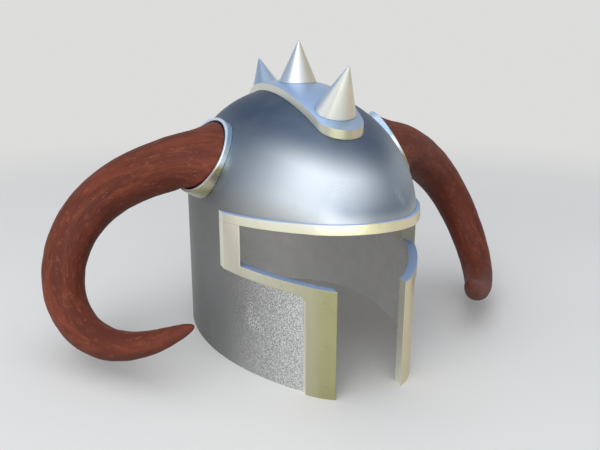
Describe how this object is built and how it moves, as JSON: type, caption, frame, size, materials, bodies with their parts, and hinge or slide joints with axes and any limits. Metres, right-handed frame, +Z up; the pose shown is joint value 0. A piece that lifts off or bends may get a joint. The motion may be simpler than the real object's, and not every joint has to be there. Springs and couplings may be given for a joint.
{
  "type": "horned helmet",
  "caption": "Steel helmet with a T-shaped face opening bound in channel trim, a spiked crest plate and curled side horns.",
  "frame": {"origin": "on the plane of the base rim, under the middle of the helmet's length and width", "axes": "+Z up, -Y the way the face looks, +X to the wearer's left, across the horns"},
  "size_m": [0.5034, 0.3074, 0.2911],
  "materials": {
    "shell_steel": "satin, finely grained",
    "trim_steel": "polished, pale champagne",
    "rivet_steel": "filed flush",
    "bolt_steel": "dull",
    "horn": "red-brown horn, streaked along its length",
    "plug_wood": "bare",
    "liner_leather": "worn",
    "liner_brass": "dull",
    "lace_leather": "waxed"
  },
  "bodies": {
    "root": {"helm_shell": "shell_steel", "brow_trim": "trim_steel", "cheek_trim_left": "trim_steel", "cheek_trim_right": "trim_steel", "brow_rivets": "rivet_steel", "cheek_rivets_left": "rivet_steel", "cheek_rivets_right": "rivet_steel", "crest_plate": "trim_steel", "spike_front": "trim_steel", "spike_middle": "trim_steel", "spike_rear": "trim_steel", "spike_studs": "bolt_steel", "spike_washers": "bolt_steel", "spike_nuts": "bolt_steel", "collar_left": "trim_steel", "collar_right": "trim_steel", "horn_left": "horn", "horn_right": "horn", "horn_plug_left": "plug_wood", "horn_plug_right": "plug_wood", "horn_bolt_left": "bolt_steel", "horn_bolt_right": "bolt_steel", "horn_washer_left": "bolt_steel", "horn_washer_right": "bolt_steel", "liner_band": "liner_leather", "liner_rivets": "liner_brass", "liner_tongues": "liner_leather", "liner_lace": "lace_leather"}
  },
  "joints": []
}
